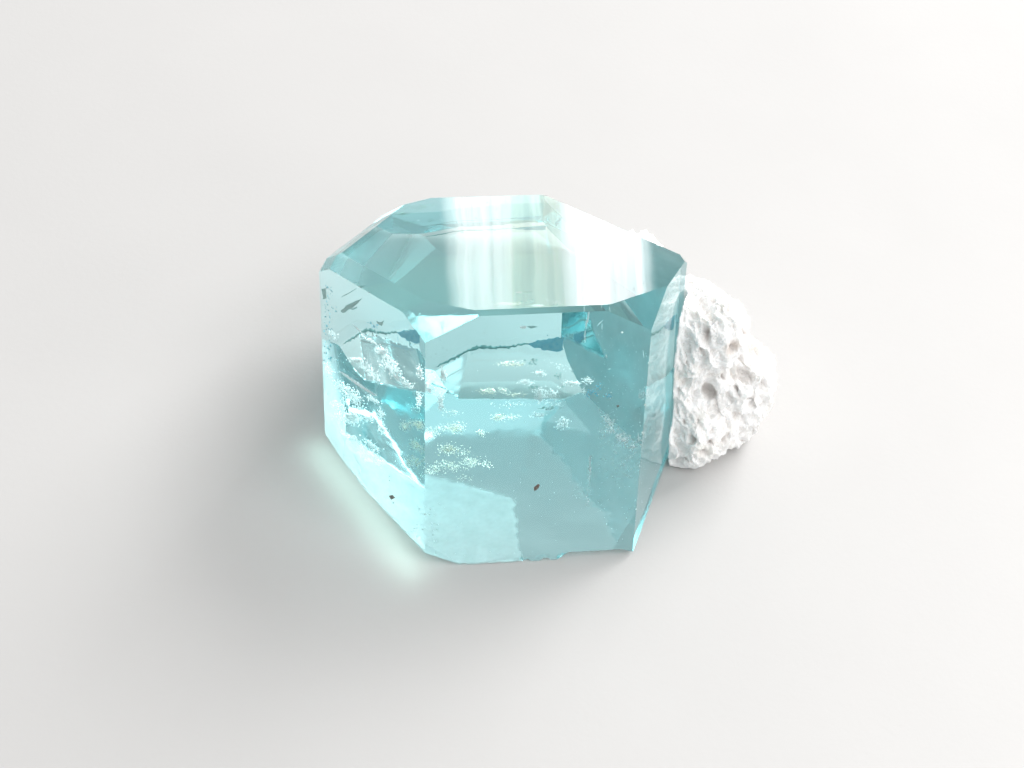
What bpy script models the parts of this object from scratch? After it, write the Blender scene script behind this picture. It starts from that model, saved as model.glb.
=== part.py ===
"""Aquamarine crystal with a lump of albite matrix.

A stout hexagonal beryl prism that ends in a flat basal face with small
pyramid facets round it. It stands on the oblique break by which it came off
its rock, so its long axis leans back. A sugary lump of albite is still
attached to its rear right side.

The crystal is worked in its own frame first: Z along the c axis, the basal
face at Z = 0 and the front prism face towards -Y. It is then stood on its
break. Lengths are in metres and angles in degrees.
"""

import math

import bmesh
import bpy
from mathutils import Matrix, Vector, noise

MM = 0.001

# Crystal faces: (azimuth of the face normal, distance of the face from the
# c axis). The prism is first order, so neighbours meet at 120 degrees.
PRISM = {
    "front": (-90, 12.95),
    "right": (-30, 14.49),
    "right_rear": (30, 11.19),
    "rear": (90, 13.41),
    "left_rear": (150, 14.93),
    "left": (210, 14.49),
}
PRISM_INCLINATION = 90.0

# Pyramid facets of the first order, above the prism faces: (azimuth, distance
# from the c axis of the edge that the facet shares with the basal face).
PYRAMID_1 = {
    "front": (-90, 12.42),
    "right": (-30, 14.40),
    "right_rear": (30, 11.05),
    "rear": (90, 13.22),
    "left_rear": (150, 13.19),
    "left": (210, 12.88),
}
PYRAMID_1_INCLINATION = 29.95

# Pyramid facets of the second order, above the prism edges.
PYRAMID_2 = {
    "front_right": (-60, 13.63),
    "right": (0, 14.30),
    "right_rear": (60, 13.85),
    "left_rear": (120, 14.36),
    "left": (180, 15.25),
    "front_left": (240, 13.40),
}
PYRAMID_2_INCLINATION = 44.93

# The break that the crystal stands on.
BREAK_DROP = 18.92 * MM       # depth of the break under the basal face, on the c axis
BREAK_LEAN = 22.25            # angle between the break and the basal face
BREAK_LEAN_TOWARDS = -87.1    # the crystal is longest on this side

# Conchoidal chips round the break, each a plane through three points of the
# crystal's frame, in mm.
CHIPS = {
    "front_left_foot": ((-9.25, -12.95, -22.55), (-5.9, -12.95, -24.15), (-13.75, -5.15, -20.74)),
    "right_foot": ((9.25, -12.95, -24.05), (14.83, -3.3, -20.15), (11.0, -5.0, -21.19)),
    "left_rear_foot": ((-16.99, 0.44, -17.9), (-12.6, 8.04, -14.7), (-12.2, 2.0, -17.85)),
}

# The big shell-shaped spall at the rear of the break: a hollow left by a
# ball-shaped crack, (centre in the crystal's frame, radius), in mm.
SPALL = ((1.5, 17.5, -24.6), 14.2)

# Albite: lobes of the lump, (centre, radii) in mm, in the standing frame.
LOBES = [
    ((15.8, -4.8, 8.4), (5.5, 5.2, 8.4)),
    ((20.5, -6.2, 4.9), (5.3, 4.8, 6.3)),
    ((17.5, -6.1, 11.5), (4.1, 3.6, 5.5)),
    ((12.2, 1.9, 8.0), (5.2, 5.4, 8.0)),
    ((17.6, -2.5, 5.0), (6.2, 5.6, 6.0)),
    ((22.0, -6.7, 3.0), (3.6, 3.4, 4.2)),
    ((17.1, -9.8, 2.6), (3.6, 3.2, 3.6)),
]
LUMP_GRAIN = 0.95 * MM        # size of the facets on the lump
RIB_HEIGHT = 1.05 * MM        # how far its ridges and hollows reach
GAP = 0.3 * MM                # left between the lump and the crystal

COLLECTION = "aquamarine_crystal"


def facing(azimuth, inclination):
    """Unit normal at an azimuth, and at an inclination from the c axis."""
    a, i = math.radians(azimuth), math.radians(inclination)
    return Vector((math.sin(i) * math.cos(a), math.sin(i) * math.sin(a), math.cos(i)))


def cut(bm, point, normal):
    """Takes away what lies in front of the plane, and closes the cut."""
    geom = bm.verts[:] + bm.edges[:] + bm.faces[:]
    made = bmesh.ops.bisect_plane(
        bm, geom=geom, plane_co=point, plane_no=normal, dist=1e-8, clear_outer=True
    )
    rim = [e for e in made["geom_cut"] if isinstance(e, bmesh.types.BMEdge)]
    open_rim = [e for e in rim if e.is_valid and e.is_boundary]
    if open_rim:
        bmesh.ops.contextual_create(bm, geom=open_rim)


def crystal_planes(grow=0.0):
    """(point, normal) of each face, moved outwards by grow."""
    planes = [(Vector((0, 0, grow)), Vector((0, 0, 1)))]
    for azimuth, distance in PRISM.values():
        normal = facing(azimuth, PRISM_INCLINATION)
        planes.append((normal * (distance * MM + grow), normal))
    for form, inclination in (
        (PYRAMID_1, PYRAMID_1_INCLINATION),
        (PYRAMID_2, PYRAMID_2_INCLINATION),
    ):
        for azimuth, distance in form.values():
            normal = facing(azimuth, inclination)
            edge = facing(azimuth, 90) * distance * MM
            planes.append((edge + normal * grow, normal))
    return planes


def break_plane(grow=0.0):
    lean = facing(BREAK_LEAN_TOWARDS, BREAK_LEAN)
    return Vector((0, 0, -BREAK_DROP)) - lean * grow, -lean


def standing():
    """Turns the crystal's frame so that the break lies flat, with the front face square to -Y."""
    up = facing(BREAK_LEAN_TOWARDS, BREAK_LEAN)
    rear = (Vector((0, 1, 0)) - up * up.y).normalized()
    side = rear.cross(up)
    turn = Matrix((side, rear, up)).to_4x4()
    foot = turn @ Vector((0, 0, -BREAK_DROP))
    return Matrix.Translation((0, 0, -foot.z)) @ turn


def solid_crystal(name, grow, chips):
    bm = bmesh.new()
    bmesh.ops.create_cube(bm, size=0.12)
    for point, normal in crystal_planes(grow):
        cut(bm, point, normal)
    cut(bm, *break_plane(grow))
    if chips:
        for points in CHIPS.values():
            one, two, three = (Vector(p) * MM for p in points)
            normal = (two - one).cross(three - one).normalized()
            middle = Vector((0, 0, -BREAK_DROP / 2))
            if normal.dot(middle - one) > 0:
                normal.negate()
            cut(bm, one, normal)
    bmesh.ops.remove_doubles(bm, verts=bm.verts, dist=1e-6)
    bmesh.ops.dissolve_degenerate(bm, dist=1e-6, edges=bm.edges)
    bmesh.ops.recalc_face_normals(bm, faces=bm.faces)
    bm.transform(standing())
    mesh = bpy.data.meshes.new(name)
    bm.to_mesh(mesh)
    bm.free()
    return bpy.data.objects.new(name, mesh)


def ribs(point):
    """Height of the sugary, ribbed albite surface at a point."""
    p = point / MM
    # The ribs run steeply down, so the pattern is stretched along them.
    along = Vector((0.42, -0.35, -0.84)).normalized()
    q = p - along * (p.dot(along) * 0.62)
    ridge = 1.0 - abs(noise.noise(q * 0.55 + Vector((3.1, 7.7, 1.9)))) * 2.0
    lumps = noise.noise(p * 0.21 + Vector((9.2, 0.4, 5.5)))
    grain = noise.noise(p * 1.1 + Vector((1.3, 4.2, 8.8)))
    return 0.62 * ridge - 0.35 + 0.75 * lumps + 0.22 * grain


def lump():
    """The albite: overlapping lobes made one skin, then ribbed."""
    bm = bmesh.new()
    for centre, radii in LOBES:
        place = Matrix.Translation(Vector(centre) * MM) @ Matrix.Diagonal(
            Vector(radii) * MM
        ).to_4x4()
        bmesh.ops.create_icosphere(bm, subdivisions=3, radius=1.0, matrix=place)
    mesh = bpy.data.meshes.new("albite_matrix")
    bm.to_mesh(mesh)
    bm.free()
    obj = bpy.data.objects.new("albite_lobes", mesh)
    bpy.context.scene.collection.objects.link(obj)
    skin = obj.modifiers.new("one_skin", "REMESH")
    skin.mode = "VOXEL"
    skin.voxel_size = LUMP_GRAIN
    bpy.context.view_layer.update()
    graph = bpy.context.evaluated_depsgraph_get()
    skinned = bpy.data.meshes.new_from_object(obj.evaluated_get(graph))
    bpy.data.objects.remove(obj)
    bm = bmesh.new()
    bm.from_mesh(skinned)
    bm.normal_update()
    moved = [(v, v.co + v.normal * (ribs(v.co) * RIB_HEIGHT)) for v in bm.verts]
    for v, co in moved:
        v.co = co
    # It stands on the same surface as the crystal, on small flats.
    geom = bm.verts[:] + bm.edges[:] + bm.faces[:]
    floor = bmesh.ops.bisect_plane(
        bm, geom=geom, plane_co=(0, 0, 0), plane_no=(0, 0, -1), dist=1e-7, clear_outer=True
    )
    rim = [
        e
        for e in floor["geom_cut"]
        if isinstance(e, bmesh.types.BMEdge) and e.is_valid and e.is_boundary
    ]
    bmesh.ops.triangle_fill(bm, edges=rim, use_beauty=True, use_dissolve=False)
    bmesh.ops.triangulate(bm, faces=bm.faces)
    bmesh.ops.remove_doubles(bm, verts=bm.verts, dist=2e-6)
    bmesh.ops.recalc_face_normals(bm, faces=bm.faces)
    bm.to_mesh(skinned)
    bm.free()
    skinned.name = "albite_matrix"
    return bpy.data.objects.new("albite_matrix", skinned)


def finish(name, colour, roughness, transmission=0.0, ior=1.5):
    material = bpy.data.materials.new(name)
    material.use_nodes = True
    shader = material.node_tree.nodes["Principled BSDF"]
    shader.inputs["Base Color"].default_value = (*colour, 1)
    shader.inputs["Roughness"].default_value = roughness
    shader.inputs["Metallic"].default_value = 0.0
    shader.inputs["Transmission Weight"].default_value = transmission
    shader.inputs["IOR"].default_value = ior
    return material


def main():
    for obj in list(bpy.data.objects):
        bpy.data.objects.remove(obj)
    parts = bpy.data.collections.new(COLLECTION)
    cutters = bpy.data.collections.new("cutters")
    bpy.context.scene.collection.children.link(parts)
    bpy.context.scene.collection.children.link(cutters)

    crystal = solid_crystal("aquamarine_crystal", 0.0, chips=True)
    parts.objects.link(crystal)
    crystal.data.materials.append(
        finish("aquamarine", (0.45, 0.86, 0.88), 0.02, transmission=1.0, ior=1.577)
    )

    albite = lump()
    parts.objects.link(albite)
    albite.data.materials.append(finish("albite", (0.90, 0.89, 0.88), 0.55))

    bm = bmesh.new()
    centre, radius = SPALL
    bmesh.ops.create_uvsphere(bm, u_segments=56, v_segments=32, radius=radius * MM)
    bm.transform(standing() @ Matrix.Translation(Vector(centre) * MM))
    ball = bpy.data.meshes.new("spall_crack")
    bm.to_mesh(ball)
    bm.free()
    crack = bpy.data.objects.new("spall_crack", ball)
    cutters.objects.link(crack)
    crack.hide_render = True
    crack.display_type = "WIRE"
    spall = crystal.modifiers.new("rear_spall", "BOOLEAN")
    spall.operation = "DIFFERENCE"
    spall.solver = "EXACT"
    spall.object = crack

    seat = solid_crystal("crystal_seat", GAP, chips=False)
    cutters.objects.link(seat)
    seat.hide_render = True
    seat.display_type = "WIRE"
    bite = albite.modifiers.new("seat_of_crystal", "BOOLEAN")
    bite.operation = "DIFFERENCE"
    bite.solver = "EXACT"
    bite.object = seat

    # The origin is under the middle of the whole specimen's box.
    bpy.context.view_layer.update()
    graph = bpy.context.evaluated_depsgraph_get()
    low, high = Vector((1e9,) * 3), Vector((-1e9,) * 3)
    for obj in (crystal, albite):
        shape = obj.evaluated_get(graph)
        for v in shape.data.vertices:
            low = Vector(map(min, low, v.co))
            high = Vector(map(max, high, v.co))
    shift = Vector((-(low.x + high.x) / 2, -(low.y + high.y) / 2, -low.z))
    for obj in (crystal, albite, seat, crack):
        obj.location = shift


main()
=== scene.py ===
"""Looks of the aquamarine crystal on albite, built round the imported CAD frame."""

import math
import random

import bmesh
import bpy
from mathutils import Matrix, Vector, noise
from mathutils.bvhtree import BVHTree


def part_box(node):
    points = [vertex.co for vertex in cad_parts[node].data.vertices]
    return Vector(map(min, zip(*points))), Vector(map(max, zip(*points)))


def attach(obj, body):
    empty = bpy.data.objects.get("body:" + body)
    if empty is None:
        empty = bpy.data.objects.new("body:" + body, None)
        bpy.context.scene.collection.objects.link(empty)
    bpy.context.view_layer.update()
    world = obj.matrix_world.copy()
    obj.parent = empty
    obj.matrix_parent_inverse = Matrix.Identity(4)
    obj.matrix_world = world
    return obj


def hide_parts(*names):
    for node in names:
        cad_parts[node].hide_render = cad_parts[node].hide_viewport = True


MM = 0.001

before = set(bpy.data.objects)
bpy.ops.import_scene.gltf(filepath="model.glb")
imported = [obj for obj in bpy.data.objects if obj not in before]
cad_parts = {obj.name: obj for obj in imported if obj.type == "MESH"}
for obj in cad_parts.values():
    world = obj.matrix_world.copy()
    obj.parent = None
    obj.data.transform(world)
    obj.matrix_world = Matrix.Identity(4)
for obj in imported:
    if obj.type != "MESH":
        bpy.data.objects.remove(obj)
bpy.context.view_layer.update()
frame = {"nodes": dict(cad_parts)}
nodes = frame["nodes"]
scene = bpy.context.scene

# ---------------------------------------------------------------- crystal
# The faces, in the crystal's own frame (c axis up, basal face at z = 0), with
# the same distances as the CAD part has.
PRISM = {
    "front": (-90, 12.95),
    "right": (-30, 14.49),
    "right_rear": (30, 11.19),
    "rear": (90, 13.41),
    "left_rear": (150, 14.93),
    "left": (210, 14.49),
}
PYRAMID_1 = {
    "front": (-90, 12.42),
    "right": (-30, 14.40),
    "right_rear": (30, 11.05),
    "rear": (90, 13.22),
    "left_rear": (150, 13.19),
    "left": (210, 12.88),
}
PYRAMID_2 = {
    "front_right": (-60, 13.63),
    "right": (0, 14.30),
    "right_rear": (60, 13.85),
    "left_rear": (120, 14.36),
    "left": (180, 15.25),
    "front_left": (240, 13.40),
}
BREAK_DROP = 18.92 * MM
BREAK_LEAN = 22.25
BREAK_LEAN_TOWARDS = -87.1
CHIPS = (
    ((-9.25, -12.95, -22.55), (-5.9, -12.95, -24.15), (-13.75, -5.15, -20.74)),
    ((9.25, -12.95, -24.05), (14.83, -3.3, -20.15), (11.0, -5.0, -21.19)),
    ((-16.99, 0.44, -17.9), (-12.6, 8.04, -14.7), (-12.2, 2.0, -17.85)),
)
SPALL = ((1.5, 17.5, -24.6), 14.2)


def facing(azimuth, inclination):
    a, i = math.radians(azimuth), math.radians(inclination)
    return Vector((math.sin(i) * math.cos(a), math.sin(i) * math.sin(a), math.cos(i)))


def cut(bm, point, normal):
    geom = bm.verts[:] + bm.edges[:] + bm.faces[:]
    made = bmesh.ops.bisect_plane(
        bm, geom=geom, plane_co=point, plane_no=normal, dist=1e-8, clear_outer=True
    )
    rim = [
        e
        for e in made["geom_cut"]
        if isinstance(e, bmesh.types.BMEdge) and e.is_valid and e.is_boundary
    ]
    if rim:
        bmesh.ops.contextual_create(bm, geom=rim)


def crystal_to_standing():
    up = facing(BREAK_LEAN_TOWARDS, BREAK_LEAN)
    rear = (Vector((0, 1, 0)) - up * up.y).normalized()
    side = rear.cross(up)
    turn = Matrix((side, rear, up)).to_4x4()
    foot = turn @ Vector((0, 0, -BREAK_DROP))
    return Matrix.Translation((0, 0, -foot.z)) @ turn


def standing_to_row():
    """The CAD part's origin is under the middle of its box, so the crystal's own lowest x and y give the shift."""
    low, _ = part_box("aquamarine_crystal")
    bm = base_crystal()
    xs = [v.co.x for v in bm.verts]
    ys = [v.co.y for v in bm.verts]
    bm.free()
    return Matrix.Translation((low.x - min(xs), low.y - min(ys), 0))


def base_crystal():
    bm = bmesh.new()
    bmesh.ops.create_cube(bm, size=0.12)
    cut(bm, Vector((0, 0, 0)), Vector((0, 0, 1)))
    for azimuth, distance in PRISM.values():
        n = facing(azimuth, 90)
        cut(bm, n * distance * MM, n)
    for form, inclination in ((PYRAMID_1, 29.95), (PYRAMID_2, 44.93)):
        for azimuth, distance in form.values():
            cut(bm, facing(azimuth, 90) * distance * MM, facing(azimuth, inclination))
    lean = facing(BREAK_LEAN_TOWARDS, BREAK_LEAN)
    cut(bm, Vector((0, 0, -BREAK_DROP)), -lean)
    for points in CHIPS:
        one, two, three = (Vector(p) * MM for p in points)
        normal = (two - one).cross(three - one).normalized()
        if normal.dot(Vector((0, 0, -BREAK_DROP / 2)) - one) > 0:
            normal.negate()
        cut(bm, one, normal)
    bmesh.ops.remove_doubles(bm, verts=bm.verts, dist=1e-6)
    bmesh.ops.dissolve_degenerate(bm, dist=1e-6, edges=bm.edges)
    bmesh.ops.recalc_face_normals(bm, faces=bm.faces)
    bm.transform(crystal_to_standing())
    return bm


STAND = crystal_to_standing()
ROW = standing_to_row()
TO_ROW = ROW @ STAND  # from the crystal's frame (metres) to the row's frame


# The camera: place, its right, up and backward directions, and focal length in pixels of a 1024 x 768 picture.
CAM_AT = Vector((-0.02572, -0.08225, 0.10275))
CAM_RIGHT = Vector((0.9852428, -0.1317841, 0.1092229))
CAM_UP = Vector((0.0307347, 0.7639637, 0.6445268))
CAM_BACK = Vector((-0.1683807, -0.6316584, 0.7567401))
FOCAL = 1400.0
IOR = 1.577


def plane_in_row(azimuth, distance, inclination=90):
    n = facing(azimuth, inclination)
    return TO_ROW @ (facing(azimuth, 90) * distance * MM), (TO_ROW.to_3x3() @ n).normalized()


FACE = {name: plane_in_row(*at) for name, at in PRISM.items()}
FACE["top"] = plane_in_row(0, 0, 0)
for name, at in PYRAMID_1.items():
    FACE["low_" + name] = plane_in_row(*at, 29.95)
for name, at in PYRAMID_2.items():
    FACE["steep_" + name] = plane_in_row(*at, 44.93)


def enter(px, py, face):
    """Where the line of sight at a pixel meets a face, and its direction inside the crystal."""
    point, normal = FACE[face]
    d = (CAM_RIGHT * ((px - 512) / FOCAL) - CAM_UP * ((py - 384) / FOCAL) - CAM_BACK).normalized()
    p = CAM_AT + d * ((point - CAM_AT).dot(normal) / d.dot(normal))
    c, e = -d.dot(normal), 1 / IOR
    return p, (d * e + normal * (e * c - math.sqrt(1 - e * e * (1 - c * c)))).normalized()


def inside(p, margin):
    return all((p - point).dot(normal) < -margin * MM for point, normal in FACE.values())


def link(obj):
    scene.collection.objects.link(obj)
    return obj


def mesh_object(name, bm):
    mesh = bpy.data.meshes.new(name)
    bm.to_mesh(mesh)
    bm.free()
    return link(bpy.data.objects.new(name, mesh))


def apply_modifiers(obj):
    bpy.context.view_layer.update()
    graph = bpy.context.evaluated_depsgraph_get()
    mesh = bpy.data.meshes.new_from_object(obj.evaluated_get(graph))
    obj.modifiers.clear()
    old = obj.data
    obj.data = mesh
    bpy.data.meshes.remove(old)


def smooth(edge0, edge1, x):
    t = min(1.0, max(0.0, (x - edge0) / (edge1 - edge0)))
    return t * t * (3 - 2 * t)


BACK_LOW = 11.70  # y of the rear face at the floor, in mm
# The spall at the rear lower edge: a steep lip under the broken edge, then three slanting planes.
# Each plane is a height at a point on the floor plan, and its slope in x and y, in mm.
SPALL_PLANES = (
    ((-10.94, 11.92), 0.42, 0.46, 0.32),
    ((-7.17, 12.66), 2.16, 0.02, 0.42),
    ((1.0, 13.0), 2.45, -0.20, 0.42),
)
# Where the broken edge runs across the rear face: x and height in mm.
BROKEN_EDGE = ((-12.5, -0.3), (-10.94, 0.55), (-9.0, 1.45), (-7.17, 2.35), (-4.36, 2.38), (-2.31, 2.72), (-0.63, 3.06), (1.26, 3.22), (12.0, 3.1))


def broken_edge(x):
    for (x0, h0), (x1, h1) in zip(BROKEN_EDGE, BROKEN_EDGE[1:]):
        if x < x1:
            return h0 + (h1 - h0) * (x - x0) / (x1 - x0)
    return BROKEN_EDGE[-1][1]


def soft_min(a, b, k):
    h = min(1.0, max(0.0, 0.5 + 0.5 * (b - a) / k))
    return b + (a - b) * h - k * h * (1 - h)


def spall_height(x, y):
    """(height of the spall surface over the floor, how far forward of the rear face) in mm."""
    wob = 0.03 * noise.noise((x * 0.22, y * 0.22, 6.0)) + 0.004 * noise.noise((x * 0.9, y * 0.9, 8.0))
    levels = [h + sx * (x - at[0]) + sy * (y - at[1]) for at, h, sx, sy in SPALL_PLANES]
    h = soft_min(soft_min(levels[0], levels[1], 0.03), levels[2], 0.03) + wob
    jag = 0.20 * noise.noise((x * 1.15, y * 0.5, 4.0)) + 0.11 * noise.noise((x * 2.7, y * 1.2, 5.0))
    edge = broken_edge(x) + jag
    ahead = BACK_LOW + 0.41 * max(edge, 0.0) - y
    return max(h, edge - 0.95 * ahead), ahead


def break_height(x, y):
    """Height of the broken underside over the floor at a point, in mm: a nearly flat middle and a spall at the rear edge."""
    flat = 0.03 + 0.02 * noise.noise((x * 0.30, y * 0.30, 5.0)) + 0.004 * noise.noise((x * 1.1, y * 1.1, 3.0))
    # The front lower edge is worn up a little towards the right.
    worn = smooth(-1.8, -0.2, x) * smooth(6.4, 4.0, x) * 0.9 + 0.30 * noise.noise((x * 0.7, 0.0, 21.0))
    flat = max(flat, worn * (1.0 - smooth(0.0, 0.9, y + 16.75)))
    return -soft_min(-flat, -spall_height(x, y)[0], 0.04)


def frost(x, y):
    """How frosty the broken underside is at a point, 0 to 1."""
    grain = 0.35 * noise.noise((x * 0.8, y * 0.8, 30.0)) + 0.2 * noise.noise((x * 2.6, y * 2.6, 31.0))
    h, ahead = spall_height(x, y)
    scar = smooth(0.3, 0.6, ahead) * smooth(0.0, 0.3, h)
    # A frosty area in the front left of the underside, ending in a wavy line.
    side = smooth(-4.5, -5.1, x + 0.5 * noise.noise((0.0, y * 0.8, 33.0)))
    limit = -7.2 - 0.55 * (x + 5.0)
    front = smooth(limit + 0.5, limit - 1.2, y + grain)
    return min(1.0, max(0.02 * scar, 0.85 * side * front) * (1.0 + 0.5 * grain) + 0.05)


def make_crystal():
    bm = base_crystal()
    bm.transform(ROW)
    obj = mesh_object("aquamarine_crystal_looks", bm)
    low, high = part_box("aquamarine_crystal")
    nx, ny = 230, 230
    x0, x1 = low.x / MM - 1.5, high.x / MM + 1.5
    y0, y1 = low.y / MM - 1.5, high.y / MM + 1.5
    bm = bmesh.new()
    bmesh.ops.create_grid(bm, x_segments=nx, y_segments=ny, size=0.5)
    for v in bm.verts:
        x = x0 + (v.co.x + 0.5) * (x1 - x0)
        y = y0 + (v.co.y + 0.5) * (y1 - y0)
        v.co = Vector((x, y, break_height(x, y))) * MM
    skirt = bmesh.ops.extrude_face_region(bm, geom=bm.faces[:])
    for g in skirt["geom"]:
        if isinstance(g, bmesh.types.BMVert):
            g.co.z = -2.0 * MM
    bmesh.ops.recalc_face_normals(bm, faces=bm.faces)
    cutters = [mesh_object("break_cutter", bm), chip_cutter()]
    for cutter in cutters:
        mod = obj.modifiers.new("broken", "BOOLEAN")
        mod.operation = "DIFFERENCE"
        mod.solver = "EXACT"
        mod.object = cutter
        apply_modifiers(obj)
        bpy.data.objects.remove(cutter)
    return obj


def edge_point(one, two, three, pull=0.0):
    """The corner or the edge point where planes meet; pull is not used."""
    (p1, n1), (p2, n2), (p3, n3) = one, two, three
    m = Matrix((n1, n2, n3))
    return m.inverted() @ Vector((p1.dot(n1), p2.dot(n2), p3.dot(n3)))


def edge_chips(bm, rng, face_a, face_b, start, end, count, least, most, face_at):
    """Small shell-shaped chips along the edge of two faces, between two pixels seen on face_at."""
    (pa, na), (pb, nb) = FACE[face_a], FACE[face_b]
    way = na.cross(nb).normalized()
    for i in range(count):
        f = (i + rng.uniform(0.15, 0.85)) / count
        px = start[0] + (end[0] - start[0]) * f
        py = start[1] + (end[1] - start[1]) * f
        p = enter(px, py, face_at)[0]
        # The nearest point on the edge itself.
        third = (p, way)
        q = edge_point((pa, na), (pb, nb), third)
        size = rng.uniform(least, most) * MM
        out = (na + nb).normalized()
        made = bmesh.ops.create_icosphere(bm, subdivisions=2, radius=1.0)
        turn = Matrix.Rotation(rng.uniform(0, 6.28), 3, Vector((rng.uniform(-1, 1), rng.uniform(-1, 1), rng.uniform(-1, 1))).normalized())
        middle = q + out * size * rng.uniform(0.45, 0.7)
        for v in made["verts"]:
            wob = 1.0 + 0.30 * noise.noise(v.co * 1.6 + Vector((i * 3.7, px, 0)))
            v.co = middle + turn @ Vector((v.co.x * 1.25, v.co.y, v.co.z * 0.9)) * size * wob


def chip_cutter():
    bm = bmesh.new()
    rng = random.Random(11)
    floor_face = (Vector((0, 0, 0.0)), Vector((0, 0, 1)))
    FACE["floor"] = (floor_face[0], -floor_face[1])
    edge_chips(bm, rng, "front", "floor", (430, 562), (625, 556), 9, 0.22, 0.55, "front")
    edge_chips(bm, rng, "left", "floor", (420, 548), (345, 462), 9, 0.22, 0.60, "left")
    edge_chips(bm, rng, "steep_right_rear", "low_right_rear", (650, 240), (684, 256), 4, 0.18, 0.42, "top")
    edge_chips(bm, rng, "top", "low_right_rear", (612, 226), (655, 250), 3, 0.15, 0.3, "top")
    edge_chips(bm, rng, "left", "low_left", (326, 272), (380, 300), 4, 0.08, 0.16, "left")
    edge_chips(bm, rng, "front", "right", (637, 330), (634, 540), 5, 0.08, 0.16, "front")
    edge_chips(bm, rng, "front", "left", (426, 350), (427, 540), 4, 0.07, 0.14, "front")
    edge_chips(bm, rng, "right", "right_rear", (686, 300), (668, 440), 4, 0.12, 0.3, "right")
    FACE.pop("floor")
    bmesh.ops.recalc_face_normals(bm, faces=bm.faces)
    return mesh_object("chip_cutter", bm)


# ---------------------------------------------------------------- materials
def new_material(name):
    m = bpy.data.materials.new(name)
    m.use_nodes = True
    m.node_tree.nodes.clear()
    return m, m.node_tree.nodes, m.node_tree.links


def node(nodes, kind, x, y, **values):
    n = nodes.new(kind)
    n.location = (x, y)
    for key, value in values.items():
        if key in n.inputs:
            n.inputs[key].default_value = value
        else:
            setattr(n, key, value)
    return n


def set_in(n, name, value):
    n.inputs[name].default_value = value


BERYL_TINT = (0.29, 0.895, 0.935, 1)
BERYL_DENSITY = 31.0


def beryl(name):
    m, nd, lk = new_material(name)
    out = node(nd, "ShaderNodeOutputMaterial", 900, 0)
    s = node(nd, "ShaderNodeBsdfPrincipled", 500, 0)
    set_in(s, "Base Color", (1, 1, 1, 1))
    set_in(s, "Metallic", 0.0)
    set_in(s, "Roughness", 0.0)
    set_in(s, "IOR", IOR)
    set_in(s, "Transmission Weight", 1.0)
    lk.new(s.outputs["BSDF"], out.inputs["Surface"])
    v = node(nd, "ShaderNodeVolumeAbsorption", 500, -500)
    set_in(v, "Color", BERYL_TINT)
    set_in(v, "Density", BERYL_DENSITY)
    lk.new(v.outputs["Volume"], out.inputs["Volume"])
    return m, nd, lk, s


def spread(nd, lk, source, x, y, low, high, to_low, to_high):
    r = node(nd, "ShaderNodeMapRange", x, y)
    set_in(r, "From Min", low)
    set_in(r, "From Max", high)
    set_in(r, "To Min", to_low)
    set_in(r, "To Max", to_high)
    lk.new(source, r.inputs["Value"])
    return r.outputs["Result"]


crystal = make_crystal()
# Natural faces: clear and smooth, with a slight swell, patchy roughness and a few etched spots.
# Rays that enter by one face and leave by another must meet one and the same material, or its absorption goes on outside.
stone, nd, lk, s = beryl("beryl")
co = node(nd, "ShaderNodeTexCoord", -1300, 0)
etch = node(nd, "ShaderNodeTexNoise", -1000, 200, Scale=420.0, Detail=6.0, Roughness=0.62)
swell = node(nd, "ShaderNodeTexNoise", -1000, -100, Scale=70.0, Detail=2.0)
pits = node(nd, "ShaderNodeTexVoronoi", -1000, -400, Scale=900.0)
for n_ in (etch, swell, pits):
    lk.new(co.outputs["Object"], n_.inputs["Vector"])
rough_0 = spread(nd, lk, etch.outputs["Fac"], -600, 200, 0.62, 0.78, 0.0, 0.16)
pit = spread(nd, lk, pits.outputs["Distance"], -600, -400, 0.03, 0.10, -1.0, 0.0)
b1 = node(nd, "ShaderNodeBump", -200, -100, Strength=0.5, Distance=0.00006)
b2 = node(nd, "ShaderNodeBump", 100, -300, Strength=0.35, Distance=0.00001)
lk.new(swell.outputs["Fac"], b1.inputs["Height"])
lk.new(pit, b2.inputs["Height"])
lk.new(b1.outputs["Normal"], b2.inputs["Normal"])
normal_0 = b2.outputs["Normal"]
# The break: glassy to frosty, as the attribute says, with fine conchoidal lines.
at = node(nd, "ShaderNodeAttribute", -1300, 300)
at.attribute_name = "frost"
fine = node(nd, "ShaderNodeTexNoise", -1000, -100, Scale=1500.0, Detail=5.0, Roughness=0.6)
sway = node(nd, "ShaderNodeTexNoise", -1000, -400, Scale=260.0, Detail=2.0)
for n_ in (fine, sway):
    lk.new(co.outputs["Object"], n_.inputs["Vector"])
rough_1 = spread(nd, lk, at.outputs["Fac"], -600, 300, 0.0, 1.0, 0.05, 0.55)
through_1 = spread(nd, lk, at.outputs["Fac"], -600, 100, 0.3, 1.0, 1.0, 0.45)
tint = node(nd, "ShaderNodeMix", -200, 400)
tint.data_type = "RGBA"
tint.inputs["A"].default_value = (0.93, 1.0, 1.0, 1)
tint.inputs["B"].default_value = (1.0, 0.99, 0.97, 1)
lk.new(fine.outputs["Fac"], tint.inputs["Factor"])
b1 = node(nd, "ShaderNodeBump", -200, -100, Strength=0.12, Distance=0.00002)
b2 = node(nd, "ShaderNodeBump", 100, -300, Strength=0.2, Distance=0.00004)
lk.new(fine.outputs["Fac"], b1.inputs["Height"])
lk.new(sway.outputs["Fac"], b2.inputs["Height"])
lk.new(b1.outputs["Normal"], b2.inputs["Normal"])
normal_1 = b2.outputs["Normal"]
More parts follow.
